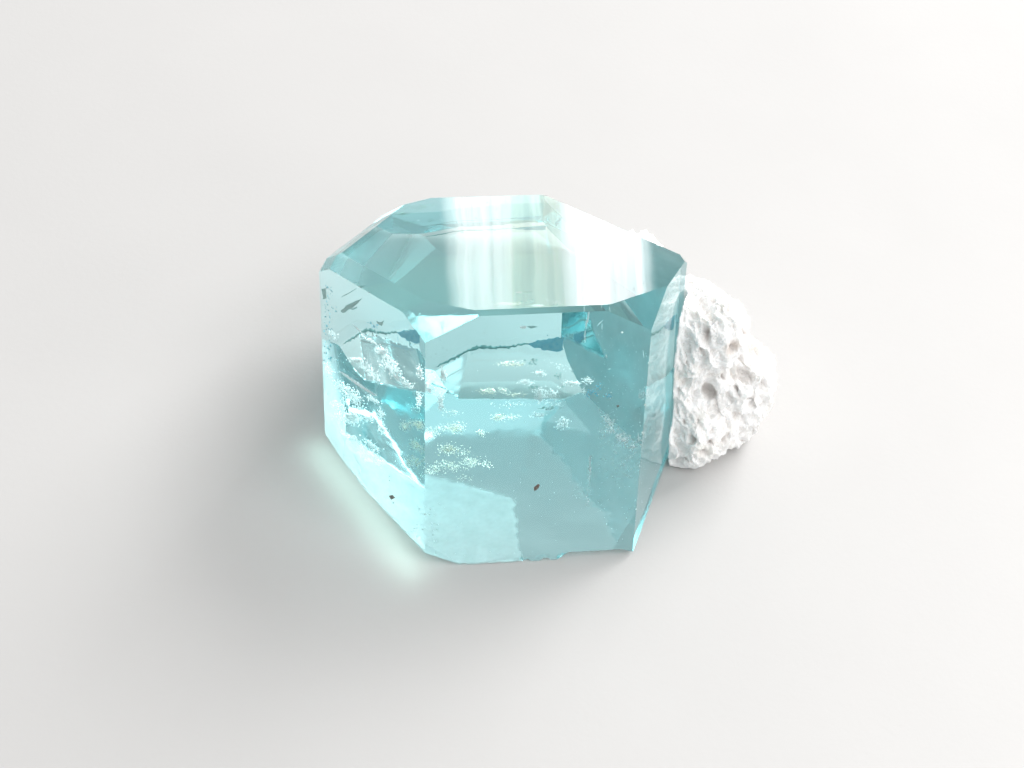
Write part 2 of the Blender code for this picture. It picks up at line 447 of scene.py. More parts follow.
# The face that the albite grew on: rough where it was covered, clear above the old contact line.
grain = node(nd, "ShaderNodeTexNoise", -1300, -300, Scale=1300.0, Detail=5.0, Roughness=0.65)
blotch = node(nd, "ShaderNodeTexNoise", -1300, -600, Scale=330.0, Detail=3.0)
limits = []
for n_ in (grain, blotch):
    lk.new(co.outputs["Object"], n_.inputs["Vector"])
for way, start in (((0.129, -0.237, -1.0), -6.39), ((0.296, -0.545, 1.0), 2.14)):
    # Both lines run along the face: the first falls towards the front, the second rises from it.
    dot = node(nd, "ShaderNodeVectorMath", -1300, 300 * len(limits), operation="DOT_PRODUCT")
    dot.inputs[1].default_value = way
    lk.new(co.outputs["Object"], dot.inputs[0])
    wavy = node(nd, "ShaderNodeMath", -1100, 300 * len(limits), operation="MULTIPLY_ADD")
    wavy.inputs[1].default_value = 0.0012
    lk.new(blotch.outputs["Fac"], wavy.inputs[0])
    lk.new(dot.outputs["Value"], wavy.inputs[2])
    limits.append(spread(nd, lk, wavy.outputs["Value"], -900, 300 * len(limits), (start + 0.45) * MM, (start + 0.85) * MM, 0.0, 1.0))
cover = node(nd, "ShaderNodeMath", -700, 200, operation="MAXIMUM")
lk.new(limits[0], cover.inputs[0])
lk.new(limits[1], cover.inputs[1])
uneven = node(nd, "ShaderNodeMath", -500, 200, operation="MULTIPLY")
lk.new(cover.outputs["Value"], uneven.inputs[0])
lk.new(spread(nd, lk, blotch.outputs["Fac"], -700, -100, 0.3, 0.7, 0.75, 1.0), uneven.inputs[1])
rough_2 = spread(nd, lk, uneven.outputs["Value"], -300, 300, 0.0, 1.0, 0.03, 0.38)
through_2 = spread(nd, lk, uneven.outputs["Value"], -300, 0, 0.0, 1.0, 1.0, 0.45)
b1 = node(nd, "ShaderNodeBump", 100, -300, Strength=0.25, Distance=0.00002)
lk.new(grain.outputs["Fac"], b1.inputs["Height"])
normal_2 = b1.outputs["Normal"]


def pick(x, y, kind, values):
    """The first value on natural faces, the second on broken ones, the third on the contact face."""
    last = None
    for step, (value, mask) in enumerate(zip(values, (None, is_broken, is_contact))):
        if mask is None:
            last = value
            continue
        if value is None:
            continue
        mix = node(nd, "ShaderNodeMix", x + 150 * step, y)
        mix.data_type = kind
        ends = [i for i in mix.inputs if i.name in ("A", "B") and i.enabled]
        lk.new(mask, [i for i in mix.inputs if i.name == "Factor" and i.enabled][0])
        for end, v in zip(ends, (last, value)):
            if isinstance(v, (int, float, tuple)):
                end.default_value = v
            else:
                lk.new(v, end)
        last = [o for o in mix.outputs if o.enabled][0]
    return last


kind_of = node(nd, "ShaderNodeAttribute", -1300, 900)
kind_of.attribute_name = "kind"
masks = []
for number in (1.0, 2.0):
    same = node(nd, "ShaderNodeMath", -1100, 900 + 200 * len(masks), operation="COMPARE")
    same.inputs[1].default_value = number
    same.inputs[2].default_value = 0.25
    lk.new(kind_of.outputs["Fac"], same.inputs[0])
    masks.append(same.outputs["Value"])
is_broken, is_contact = masks
lk.new(pick(100, 900, "FLOAT", (rough_0, rough_1, rough_2)), s.inputs["Roughness"])
lk.new(pick(100, 1200, "FLOAT", (1.0, through_1, through_2)), s.inputs["Transmission Weight"])
lk.new(pick(100, 1500, "RGBA", ((1.0, 1.0, 1.0, 1.0), tint.outputs["Result"], None)), s.inputs["Base Color"])
lk.new(pick(100, 1800, "VECTOR", (normal_0, normal_1, normal_2)), s.inputs["Normal"])
crystal.data.materials.clear()
crystal.data.materials.append(stone)
seat_at, seat_n = FACE["right_rear"]
kinds = crystal.data.attributes.new("kind", "FLOAT", "FACE")
for p, kind in zip(crystal.data.polygons, kinds.data):
    natural = any(p.normal.dot(n) > 0.9999 and abs((p.center - q).dot(n)) < 2e-6 for q, n in FACE.values())
    p.use_smooth = False
    p.material_index = 0
    kind.value = 0.0 if natural else 1.0
    if p.normal.dot(seat_n) > 0.9999 and abs((p.center - seat_at).dot(seat_n)) < 2e-6:
        kind.value = 2.0
frosty = crystal.data.attributes.new("frost", "FLOAT", "POINT")
for v, value in zip(crystal.data.vertices, frosty.data):
    x, y, z = v.co / MM
    value.value = frost(x, y) if z < break_height(x, y) + 0.05 else 0.9
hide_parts("aquamarine_crystal")
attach(crystal, "root")

# ---------------------------------------------------------------- what is sealed in the crystal
def seen_deep(px, py, face, depth):
    """The point this far (mm) inside the crystal along the line of sight."""
    p, d = enter(px, py, face)
    return p + d * (depth * MM)


def held(p, margin=0.12):
    return inside(p, margin) and p.z / MM > break_height(p.x / MM, p.y / MM) + 0.05


def flake(bm, rng, middle, size, thick, up, sides=7):
    """A thin ragged closed scale, lying across up."""
    a = up.orthogonal().normalized()
    b = up.cross(a)
    turn, squeeze = rng.uniform(0, 6.28), rng.uniform(0.45, 1.0)
    ring = []
    for i in range(sides):
        ang = 6.2832 * (i + rng.uniform(-0.3, 0.3)) / sides
        r = size * MM * rng.uniform(0.55, 1.0)
        u, v = r * math.cos(ang), r * squeeze * math.sin(ang)
        u, v = u * math.cos(turn) - v * math.sin(turn), u * math.sin(turn) + v * math.cos(turn)
        ring.append(bm.verts.new(middle + a * u + b * v + up * (thick * MM * rng.uniform(-0.3, 0.3))))
    top = bm.verts.new(middle + up * (thick * MM))
    low = bm.verts.new(middle - up * (thick * MM))
    for one, two in zip(ring, ring[1:] + ring[:1]):
        bm.faces.new((one, two, top))
        bm.faces.new((two, one, low))


UP = Vector((0, 0, 1))


# The tilt at which a scale seen through each face throws the window's light back.
GLINT = {"front": Vector((0.206, -0.166, 0.964)), "left": Vector((-0.066, -0.107, 0.990))}


def cloud(bm, rng, face, at, reach, count, size, depth=6.5, rise=1.0, slope=0.0, tilt=0.16):
    """A veil of small scales seen at a pixel, spread over so many pixels each way, this deep (mm) behind the face."""
    for _ in range(count):
        u = max(-1.5, min(1.5, rng.gauss(0, 0.55)))
        v = max(-1.5, min(1.5, rng.gauss(0, 0.55)))
        x = at[0] + u * reach[0]
        y = at[1] + v * reach[1] + slope * u * reach[0]
        p = seen_deep(x, y, face, depth + rise * (noise.noise((x * 0.03, y * 0.05, 1.0)) + rng.uniform(-0.10, 0.10)))
        if held(p):
            lean = (GLINT[face] + Vector((rng.uniform(-tilt, tilt), rng.uniform(-tilt, tilt), 0))).normalized()
            flake(bm, rng, p, size * rng.uniform(0.45, 1.3), size * 0.06, lean, rng.choice((5, 6, 7)))


def specks(bm, rng, face, box, count, size, depths, keep=1.0):
    """Fine grains seen through a face within a box of pixels, at depths in mm."""
    for _ in range(count):
        x, y = rng.uniform(box[0], box[2]), rng.uniform(box[1], box[3])
        if noise.noise((x * 0.045, y * 0.045, 3.3)) < -0.35 * keep:
            continue
        p = seen_deep(x, y, face, rng.uniform(*depths))
        if held(p, 0.06):
            lean = Vector((rng.uniform(-1, 1), rng.uniform(-1, 1), rng.uniform(-1, 1))).normalized()
            s_ = size * 1.35 * rng.choice((0.5, 0.6, 0.8, 1.0, 1.6))
            flake(bm, rng, p, s_, s_ * 0.6, lean, 5)


def sliver(bm, rng, face, points, width, depth, thick=0.03, ragged=0.25):
    """A thin closed crack or needle along pixels seen through a face; width in mm at each point."""
    rings = []
    fine = []
    for (x0, y0), (x1, y1) in zip(points, points[1:]):
        n = max(2, int(math.hypot(x1 - x0, y1 - y0) / 2.0))
        fine += [(x0 + (x1 - x0) * i / n, y0 + (y1 - y0) * i / n) for i in range(n)]
    fine.append(points[-1])
    total = len(fine) - 1
    for i, (x, y) in enumerate(fine):
        p, d = enter(x, y, face)
        q = p + d * (depth * MM)
        ahead = fine[min(i + 1, total)]
        behind = fine[max(i - 1, 0)]
        way = (enter(*ahead, face)[0] - enter(*behind, face)[0]).normalized()
        side = way.cross(d).normalized()
        taper = math.sin(math.pi * min(1.0, max(0.0, (i + 0.25) / (total + 0.5)))) ** 0.5
        w = width * MM * taper * (1 + rng.uniform(-ragged, ragged)) * 0.5
        q = q + side * (width * MM * ragged * rng.uniform(-0.5, 0.5))
        rings.append([bm.verts.new(q + side * w), bm.verts.new(q + d * thick * MM), bm.verts.new(q - side * w), bm.verts.new(q - d * thick * MM)])
    for one, two in zip(rings, rings[1:]):
        for k in range(4):
            bm.faces.new((one[k], one[(k + 1) % 4], two[(k + 1) % 4], two[k]))
    bm.faces.new(rings[0][::-1])
    bm.faces.new(rings[-1])


def blade(bm, rng, face, outline, depth, thick=0.05, ragged=0.5):
    """A flat closed scale whose outline is given in pixels, this deep (mm) behind a face."""
    middle = (sum(p[0] for p in outline) / len(outline), sum(p[1] for p in outline) / len(outline))
    rim = []
    for (x0, y0), (x1, y1) in zip(outline, outline[1:] + outline[:1]):
        n = max(1, int(math.hypot(x1 - x0, y1 - y0) / 2.5))
        for i in range(n):
            rim.append((x0 + (x1 - x0) * i / n + rng.uniform(-ragged, ragged), y0 + (y1 - y0) * i / n + rng.uniform(-ragged, ragged)))
    pts = [bm.verts.new(seen_deep(x, y, face, depth)) for x, y in rim]
    p, d = enter(*middle, face)
    top = bm.verts.new(p + d * ((depth - thick) * MM))
    low = bm.verts.new(p + d * ((depth + thick) * MM))
    for one, two in zip(pts, pts[1:] + pts[:1]):
        bm.faces.new((one, two, top))
        bm.faces.new((two, one, low))


CRYSTAL_SIDE = BVHTree.FromPolygons([crystal.matrix_world @ v.co for v in crystal.data.vertices], [p.vertices[:] for p in crystal.data.polygons])
RAYS = [Vector(d).normalized() for d in ((0.3, 0.5, 0.81), (-0.6, 0.2, 0.77), (0.1, -0.7, 0.7))]


def crossings(p, d):
    n = 0
    hit = CRYSTAL_SIDE.ray_cast(p, d)[0]
    while hit is not None and n < 60:
        n += 1
        hit = CRYSTAL_SIDE.ray_cast(hit + d * 1e-7, d)[0]
    return n


def past_surface(p):
    if crossings(p, RAYS[0]) % 2:
        return False
    return sum(crossings(p, d) % 2 for d in RAYS) < 2


def drop_outside(bm):
    """Leaves out each loose bit that reaches past the crystal's surface."""
    bad = [v for v in bm.verts if past_surface(v.co)]
    doomed = set(bad)
    while bad:
        for edge in bad.pop().link_edges:
            for v in edge.verts:
                if v not in doomed:
                    doomed.add(v)
                    bad.append(v)
    bmesh.ops.delete(bm, geom=list(doomed), context="VERTS")


def sealed(name, bm, colour, colour_2, rough, metal=0.0, through=0.0, scale=2500.0):
    """Makes the piece and its material: two tones mixed by fine noise, rough, a little see-through."""
    drop_outside(bm)
    bmesh.ops.recalc_face_normals(bm, faces=bm.faces)
    obj = mesh_object(name, bm)
    m, nd, lk = new_material(name)
    out = node(nd, "ShaderNodeOutputMaterial", 700, 0)
    s = node(nd, "ShaderNodeBsdfPrincipled", 300, 0)
    co = node(nd, "ShaderNodeTexCoord", -900, 0)
    tex = node(nd, "ShaderNodeTexNoise", -600, 0, Scale=scale, Detail=4.0)
    mix = node(nd, "ShaderNodeMix", -200, 100)
    mix.data_type = "RGBA"
    mix.inputs["A"].default_value = (*colour, 1)
    mix.inputs["B"].default_value = (*colour_2, 1)
    b = node(nd, "ShaderNodeBump", -100, -300, Strength=0.15, Distance=0.00002)
    lk.new(co.outputs["Object"], tex.inputs["Vector"])
    lk.new(spread(nd, lk, tex.outputs["Fac"], -400, 100, 0.3, 0.7, 0.0, 1.0), mix.inputs["Factor"])
    lk.new(mix.outputs["Result"], s.inputs["Base Color"])
    lk.new(spread(nd, lk, tex.outputs["Fac"], -400, -100, 0.3, 0.7, rough - 0.12, rough + 0.12), s.inputs["Roughness"])
    lk.new(tex.outputs["Fac"], b.inputs["Height"])
    lk.new(b.outputs["Normal"], s.inputs["Normal"])
    set_in(s, "Metallic", metal)
    set_in(s, "Alpha", 1.0 - through)
    lk.new(s.outputs["BSDF"], out.inputs["Surface"])
    obj.data.materials.append(m)
    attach(obj, "root")
    return obj


rng = random.Random(5)
F, L = "front", "left"
bm = bmesh.new()
for face, at, reach, count, size in (
    (F, (513, 364), (13, 2.6), 80, 0.16), (F, (488, 391), (8, 3.2), 60, 0.17), (F, (503, 390), (5, 2.4), 22, 0.14),
    (F, (517, 394), (9, 2.0), 36, 0.14), (F, (499, 417), (7, 3.2), 60, 0.17), (F, (512, 417), (7, 2.6), 34, 0.14),
    (F, (430, 433), (8, 4.5), 60, 0.17), (F, (456, 428), (7, 4.5), 90, 0.18), (F, (443, 428), (7, 4), 34, 0.14),
    (F, (481, 433), (5, 2.8), 34, 0.16), (F, (452, 412), (9, 3), 18, 0.14), (F, (449, 449), (9, 5), 90, 0.18),
    (F, (462, 452), (9, 5), 30, 0.15), (F, (448, 466), (18, 5), 90, 0.17), (F, (472, 461), (9, 4), 60, 0.17),
    (F, (487, 464), (6, 3), 22, 0.15), (F, (432, 471), (8, 4), 34, 0.16), (F, (465, 478), (9, 3), 16, 0.14),
):
    cloud(bm, rng, face, at, reach, int(count * 2.6), size * 0.40, rise=0.6, tilt=0.12)
sealed("veils_cream", bm, (1.0, 0.98, 0.86), (1.0, 0.96, 0.84), 0.40, metal=0.8)

bm = bmesh.new()
for face, at, reach, count, size, slope in (
    (F, (540, 373), (6, 2.6), 60, 0.16, 0.1), (F, (526, 382), (7, 2.4), 60, 0.16, 0.0), (F, (572, 383), (8, 2.4), 80, 0.17, 0.0),
    (F, (587, 381), (5, 3.5), 50, 0.16, 0.0), (F, (584, 391), (2, 4), 26, 0.13, 0.0), (F, (540, 395), (5, 6), 90, 0.20, 0.0),
    (F, (552, 394), (7, 5), 50, 0.18, 0.0), (F, (538, 415), (6, 2.2), 40, 0.15, 0.1), (F, (563, 423), (6, 5), 60, 0.16, -0.3),
    (F, (512, 404), (14, 3), 26, 0.13, 0.0), (F, (556, 404), (7, 3), 18, 0.13, 0.0), (F, (560, 366), (14, 4), 16, 0.12, 0.2),
    (L, (382, 351), (5, 4), 50, 0.20, 0.3), (L, (391, 360), (7, 2.5), 34, 0.18, 0.5), (L, (391, 367), (9, 4.5), 60, 0.20, 0.4),
    (L, (398, 377), (7, 4), 46, 0.19, 0.5), (L, (407, 384), (6, 3), 30, 0.18, 0.5), (L, (357, 360), (7, 2.4), 40, 0.19, 0.1),
    (L, (368, 369), (7, 5), 60, 0.19, 0.6), (L, (377, 377), (2.5, 5), 18, 0.17, 0.2), (L, (370, 340), (6, 2), 22, 0.17, 0.5),
    (L, (344, 388), (8, 5), 50, 0.20, 0.5), (L, (354, 398), (9, 7), 70, 0.21, 0.6), (L, (373, 400), (7, 2.6), 30, 0.19, 0.5),
    (L, (350, 417), (12, 6), 110, 0.22, 0.2), (L, (368, 418), (5, 3), 22, 0.18, 0.3), (L, (381, 414), (3, 5), 26, 0.18, 0.3),
    (L, (383, 430), (4, 4), 30, 0.18, 0.3), (L, (337, 405), (7, 4), 26, 0.18, 0.3), (L, (340, 434), (8, 3), 26, 0.18, 0.5),
    (L, (355, 441), (6, 4), 40, 0.19, 0.6), (L, (372, 446), (8, 4), 50, 0.19, 0.6), (L, (364, 455), (7, 4), 40, 0.19, 0.6),
    (L, (378, 462), (5, 3), 20, 0.17, 0.6), (L, (420, 372), (3, 5), 34, 0.18, 0.6), (L, (419, 399), (3, 9), 30, 0.18, 0.2),
    (L, (329, 370), (5, 5), 22, 0.17, 0.4), (L, (333, 335), (4, 4), 16, 0.15, 0.4),
):
    cloud(bm, rng, face, at, reach, int(count * (2.6 if face == F else 4.5)), size * (0.40 if face == F else 0.55), depth=6.5 if face == F else 4.0, rise=0.6, slope=slope, tilt=0.12)
sealed("veils_white", bm, (1.0, 1.0, 1.0), (0.98, 1.0, 0.99), 0.40, metal=0.8)

bm = bmesh.new()
specks(bm, rng, F, (598, 320, 642, 545), 260, 0.035, (0.3, 7.0))
specks(bm, rng, F, (430, 480, 600, 556), 90, 0.03, (0.3, 9.0))
specks(bm, rng, F, (426, 340, 600, 480), 70, 0.028, (0.3, 8.0))
specks(bm, rng, F, (430, 550, 590, 563), 40, 0.04, (0.2, 0.7))
specks(bm, rng, F, (600, 385, 642, 470), 160, 0.04, (0.3, 4.0))
specks(bm, rng, F, (612, 440, 640, 480), 90, 0.035, (0.3, 3.0))
specks(bm, rng, L, (400, 505, 430, 560), 160, 0.05, (0.2, 1.6))
specks(bm, rng, L, (350, 455, 430, 545), 110, 0.05, (0.2, 3.0))
specks(bm, rng, L, (322, 270, 345, 400), 120, 0.05, (0.3, 3.0))
specks(bm, rng, L, (330, 330, 425, 460), 120, 0.03, (0.3, 5.0))
specks(bm, rng, "right", (645, 320, 684, 500), 110, 0.035, (0.3, 4.0))
specks(bm, rng, "steep_front_left", (345, 250, 400, 305), 90, 0.035, (0.15, 1.2))
specks(bm, rng, "top", (400, 250, 445, 296), 60, 0.03, (0.15, 1.2))
for at, n in (((606, 418), 36), (((610, 424)), 40), ((612, 430), 40), ((605, 432), 26), ((620, 436), 46), ((626, 438), 46), ((622, 442), 26), ((633, 447), 30), ((638, 440), 26), ((641, 392), 20), ((642, 396), 20)):
    for _ in range(n):
        p = seen_deep(at[0] + rng.gauss(0, 2.2), at[1] + rng.gauss(0, 2.4), F, rng.uniform(0.5, 2.4))
        if held(p, 0.05):
            flake(bm, rng, p, 0.085 * rng.uniform(0.5, 1.5), 0.04, Vector((rng.uniform(-1, 1), rng.uniform(-1, 1), rng.uniform(-1, 1))).normalized(), 5)
for i in range(60):
    f = rng.random()
    p = seen_deep(590 - 2.5 * f + rng.gauss(0, 0.7), 455 + 52 * f, F, 1.6 + rng.uniform(-0.4, 0.4))
    flake(bm, rng, p, 0.07 * rng.uniform(0.5, 1.6), 0.03, Vector((rng.uniform(-1, 1), rng.uniform(-1, 1), rng.uniform(-1, 1))).normalized(), 5)
for i in range(60):
    p = seen_deep(582 + rng.gauss(0, 4), 493 + rng.gauss(0, 5), F, 1.8 + rng.uniform(-0.6, 0.6))
    flake(bm, rng, p, 0.035 * rng.uniform(0.5, 1.5), 0.02, Vector((rng.uniform(-1, 1), rng.uniform(-1, 1), rng.uniform(-1, 1))).normalized(), 5)
sealed("specks_white", bm, (1.0, 1.0, 1.0), (0.97, 1.0, 1.0), 0.45, metal=0.85)

bm = bmesh.new()
sliver(bm, rng, F, ((589, 311), (588, 317), (586, 324), (585.5, 329)), 0.20, 5.0)
sliver(bm, rng, F, ((585.5, 330), (584.5, 336), (585, 343)), 0.10, 5.0)
sliver(bm, rng, F, ((603, 320), (597, 326)), 0.10, 4.0)
sliver(bm, rng, F, ((602, 323), (602, 332)), 0.06, 4.0)
sliver(bm, rng, F, ((590, 456), (590, 470), (589, 482)), 0.10, 1.6, ragged=0.6)
sliver(bm, rng, F, ((638, 432), (638.5, 442)), 0.08, 1.2)
sliver(bm, rng, F, ((643, 350), (644, 358)), 0.06, 1.2)
sliver(bm, rng, F, ((606, 354), (607, 358)), 0.12, 2.0)
sliver(bm, rng, F, ((621, 332), (623, 333)), 0.16, 2.0)
sliver(bm, rng, F, ((520, 327.5), (526, 327)), 0.28, 6.0)
sliver(bm, rng, L, ((339, 371), (348, 377), (358, 384), (368, 391), (377, 396)), 0.36, 2.0, ragged=0.2)
sliver(bm, rng, L, ((322, 362), (332, 369), (339, 373)), 0.16, 2.0, ragged=0.4)
sliver(bm, rng, L, ((352, 324), (362, 333)), 0.14, 2.0, ragged=0.4)
sealed("cracks_white", bm, (1.0, 1.0, 1.0), (0.95, 0.99, 1.0), 0.35, metal=0.6)

bm = bmesh.new()
blade(bm, rng, L, [(340, 311), (346, 306), (355, 301), (362, 298.5), (358, 303), (352, 308), (343, 313.5)], 2.2)
blade(bm, rng, L, [(350, 309), (357, 306.5), (357, 308.5), (352, 310)], 2.2, ragged=0.2)
sliver(bm, rng, L, ((341, 297), (349, 293), (357, 288)), 0.07, 1.2)
blade(bm, rng, L, [(376, 321), (381, 322), (384, 320), (382, 326), (378, 324)], 2.4, ragged=0.3)
blade(bm, rng, L, [(321, 289), (325, 288), (327, 298), (323, 299)], 1.0, ragged=0.6)
blade(bm, rng, F, [(527, 326.5), (533, 325.5), (538, 327), (531, 328.5)], 6.0, ragged=0.2)
cloud(bm, rng, F, (533, 361), (6, 2.6), 26, 0.14)
cloud(bm, rng, F, (547, 408), (9, 1.8), 30, 0.13)
cloud(bm, rng, F, (535, 387), (4, 1.2), 12, 0.12)
cloud(bm, rng, F, (558, 376), (3, 2), 12, 0.12)
cloud(bm, rng, F, (563, 386), (2, 1), 7, 0.10)
# The dark line just above the broken rear edge: painted shade, a dark sliver laid along the rear edge where that edge
# looks dark.
for seed, wide in ((1, 0.26), (2, 0.16)):
    line = ((436, 367), (443, 363), (450, 360), (458, 356), (466, 351), (475, 348), (483, 347), (492, 348), (500, 347), (509, 347), (518, 345), (528, 343))
    sliver(bm, random.Random(seed), F, line, wide, 26.3, thick=0.05, ragged=0.7)
sealed("dark_veils_and_edge_shade", bm, (0.36, 0.62, 0.62), (0.48, 0.70, 0.66), 0.5, through=0.25)

bm = bmesh.new()
for at, reach, n in (((592, 392), (6, 3.5), 34), ((608, 396), (4, 3), 16), ((600, 386), (4, 3), 10)):
    cloud(bm, rng, F, at, reach, n, 0.14, depth=4.0, tilt=0.9)
cloud(bm, rng, L, (372, 325), (6, 3), 20, 0.16, depth=3.0, tilt=0.5)
for _ in range(90):
    p = seen_deep(324 + abs(rng.gauss(0, 5)), rng.uniform(285, 362), L, rng.uniform(0.4, 2.6))
    if held(p, 0.1):
        flake(bm, rng, p, 0.13 * rng.uniform(0.5, 1.6), 0.03, Vector((rng.uniform(-1, 1), rng.uniform(-1, 1), rng.uniform(-1, 1))).normalized(), 6)
blade(bm, rng, F, [(526, 344), (535, 341), (546, 339), (556, 337), (563, 336.5), (563, 350), (556, 352), (545, 350), (535, 348)], 26.3, thick=0.05, ragged=0.8)
sealed("veils_blue", bm, (0.24, 0.66, 0.82), (0.40, 0.78, 0.88), 0.45, through=0.25)

bm = bmesh.new()
blade(bm, rng, F, [(534, 487), (538, 484), (540, 485), (537, 490), (534, 491)], 0.5, thick=0.08, ragged=0.3)
blade(bm, rng, L, [(389, 496), (393, 495), (395, 498), (391, 500)], 0.35, thick=0.08, ragged=0.4)
p = seen_deep(618, 406, F, 0.8)
flake(bm, rng, p, 0.20, 0.08, FACE[F][1], 7)
p = seen_deep(679.5, 271, "right", 0.35)
flake(bm, rng, p, 0.13, 0.08, FACE["right"][1], 7)
for x, y in ((440, 340), (443, 348), (447, 350), (431, 357), (434, 359), (436, 354)):
    p = seen_deep(x, y, F, 5.5)
    if held(p):
        flake(bm, rng, p, 0.05, 0.03, FACE[F][1], 5)
sealed("grains_brown", bm, (0.10, 0.06, 0.05), (0.36, 0.22, 0.17), 0.4)

# ---------------------------------------------------------------- albite
SEAT_PLANES = [FACE[k] for k in ("right", "right_rear", "rear")]
RIB_WAY = Vector((0.42, -0.35, -0.84)).normalized()


def cells(p, size, seed):
    """Distance to the nearest edge of a crumbled cell pattern: 0 on the edges, up to about 0.5 inside."""
    d, _ = noise.voronoi((p / size) + Vector((seed, seed * 0.7, seed * 1.3)))
    return d[1] - d[0]


def sugar(p):
    """How far the albite skin stands back at p (mm)."""
    along = p.dot(RIB_WAY)
    q = p - RIB_WAY * (along * 0.74)
    blade = 1.0 - abs(noise.noise(q * 0.80 + Vector((3.1, 7.7, 1.9)))) * 2.2
    blade2 = 1.0 - abs(noise.noise(q * 1.9 + Vector((1.1, 2.7, 4.9)))) * 2.2
    crumb = cells(p, 1.05, 3.0)
    grain = cells(p, 0.46, 9.0)
    fine = cells(p, 0.24, 5.0)
    pits = -0.7 * smooth(0.22, 0.5, noise.noise(p * 0.55 + Vector((5.0, 2.0, 8.0))))
    return 0.36 * blade + 0.26 * blade2 + 0.24 * (crumb - 0.3) + 0.20 * (grain - 0.3) + 0.10 * (fine - 0.3) + pits - 0.62


# Hollows in the albite: the pixel each is seen at, half length along the ribs, half width, depth (mm).
HOLLOWS = (
    ((705, 334), 0.95, 0.42, 0.75), ((736, 351), 0.75, 0.60, 0.95), ((745, 358), 0.7, 0.45, 0.5), ((710, 393), 0.8, 0.42, 0.8),
    ((718, 408), 1.0, 0.45, 0.8), ((697, 420), 0.8, 0.25, 0.6), ((713, 445), 0.45, 0.28, 0.7), ((725, 442), 0.45, 0.25, 0.6),
    ((745, 376), 0.8, 0.5, 0.5), ((729, 308), 0.55, 0.35, 0.45), ((748, 331), 0.5, 0.25, 0.4), ((687, 366), 0.3, 0.16, 0.4),
    ((700, 352), 0.4, 0.2, 0.4), ((738, 395), 0.9, 0.3, 0.45), ((726, 380), 0.7, 0.25, 0.4), ((755, 404), 0.7, 0.35, 0.45),
    ((690, 440), 0.8, 0.2, 0.5), ((704, 455), 0.4, 0.3, 0.5), ((683, 422), 0.3, 0.15, 0.4), ((765, 385), 0.6, 0.3, 0.35),
)


def sight(px, py):
    return (CAM_RIGHT * ((px - 512) / FOCAL) - CAM_UP * ((py - 384) / FOCAL) - CAM_BACK).normalized()


def make_albite():
    src = nodes["albite_matrix"]
    obj = link(bpy.data.objects.new("albite_matrix_looks", src.data.copy()))
    skin = obj.modifiers.new("skin", "REMESH")
    skin.mode = "VOXEL"
    skin.voxel_size = 0.17 * MM
    apply_modifiers(obj)
    mesh = obj.data
    low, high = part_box("albite_matrix")
    tree = BVHTree.FromPolygons([v.co for v in mesh.vertices], [p.vertices[:] for p in mesh.polygons])
    hollows = []
    for (px, py), long, wide, deep in HOLLOWS:
        place = tree.ray_cast(CAM_AT, sight(px, py))[0]
        if place is not None:
            hollows.append((place / MM, long, wide, deep))
    normals = [v.normal.copy() for v in mesh.vertices]
    # painted shade: a per-point amount, highest in the deepest dents, that greys the albite's colour there
    shade = mesh.attributes.new("hollow_shade", "FLOAT", "POINT")
    for v, n, tone in zip(mesh.vertices, normals, shade.data):
        p = v.co / MM
        depth = max((v.co - c).dot(m) for c, m in SEAT_PLANES)
        seat = smooth(0.25 * MM, 0.9 * MM, depth)  # calm where it meets the crystal
        foot = smooth(0.02 * MM, 0.8 * MM, v.co.z) * 0.85 + 0.15
        push = sugar(p) * 0.75
        for place, long, wide, deep in hollows:
            off = p - place
            if off.length < 2.6 * long:
                u = off.dot(RIB_WAY)
                w = (off - RIB_WAY * u).length
                dent = math.exp(-((u / long) ** 2) - (w / wide) ** 2)
                push -= deep * dent
                tone.value = max(tone.value, min(1.0, 1.5 * dent) * min(1.0, deep / 0.6))
        v.co += n * (push * MM * seat * foot)
    for v in mesh.vertices:
        v.co.x = min(max(v.co.x, low.x), high.x)
        v.co.y = min(max(v.co.y, low.y), high.y)
        v.co.z = min(max(v.co.z, 0.0), high.z)
    mesh.update()
    for poly in mesh.polygons:
        poly.use_smooth = False
    return obj, hollows[1][0] * MM if len(hollows) > 1 else Vector((0, 0, 0))


albite, cavity = make_albite()
m, nd, lk = new_material("albite_sugar")
out = node(nd, "ShaderNodeOutputMaterial", 900, 0)
s = node(nd, "ShaderNodeBsdfPrincipled", 500, 0)
co = node(nd, "ShaderNodeTexCoord", -900, 0)
patch = node(nd, "ShaderNodeTexNoise", -600, 200, Scale=260.0, Detail=4.0, Roughness=0.6)
tone = node(nd, "ShaderNodeValToRGB", -300, 200)
e = tone.color_ramp.elements
e[0].position, e[0].color = 0.30, (0.90, 0.87, 0.82, 1)
e[1].position, e[1].color = 0.50, (0.985, 0.983, 0.98, 1)
q = e.new(0.75)
q.color = (0.995, 0.995, 0.995, 1)
# painted shade: creases (low pointiness) get a darker greyish colour than the rest of the albite
geo = node(nd, "ShaderNodeNewGeometry", -900, -200)
hollow_shade = node(nd, "ShaderNodeMapRange", -600, -200)
set_in(hollow_shade, "From Min", 0.40)
set_in(hollow_shade, "From Max", 0.50)
crease_shade = node(nd, "ShaderNodeMix", 0, 100)
crease_shade.data_type = "RGBA"
crease_shade.inputs["A"].default_value = (0.80, 0.765, 0.74, 1)
grain = node(nd, "ShaderNodeTexVoronoi", -600, -500, Scale=2600.0)
grain2 = node(nd, "ShaderNodeTexNoise", -600, -800, Scale=5200.0, Detail=5.0)
bump = node(nd, "ShaderNodeBump", 200, -400, Strength=0.55, Distance=0.00012)
bump2 = node(nd, "ShaderNodeBump", 0, -700, Strength=0.5, Distance=0.00005)
for n_ in (patch, grain, grain2):
    lk.new(co.outputs["Object"], n_.inputs["Vector"])
lk.new(patch.outputs["Fac"], tone.inputs["Fac"])
lk.new(geo.outputs["Pointiness"], hollow_shade.inputs["Value"])
lk.new(hollow_shade.outputs["Result"], crease_shade.inputs["Factor"])
lk.new(tone.outputs["Color"], crease_shade.inputs["B"])
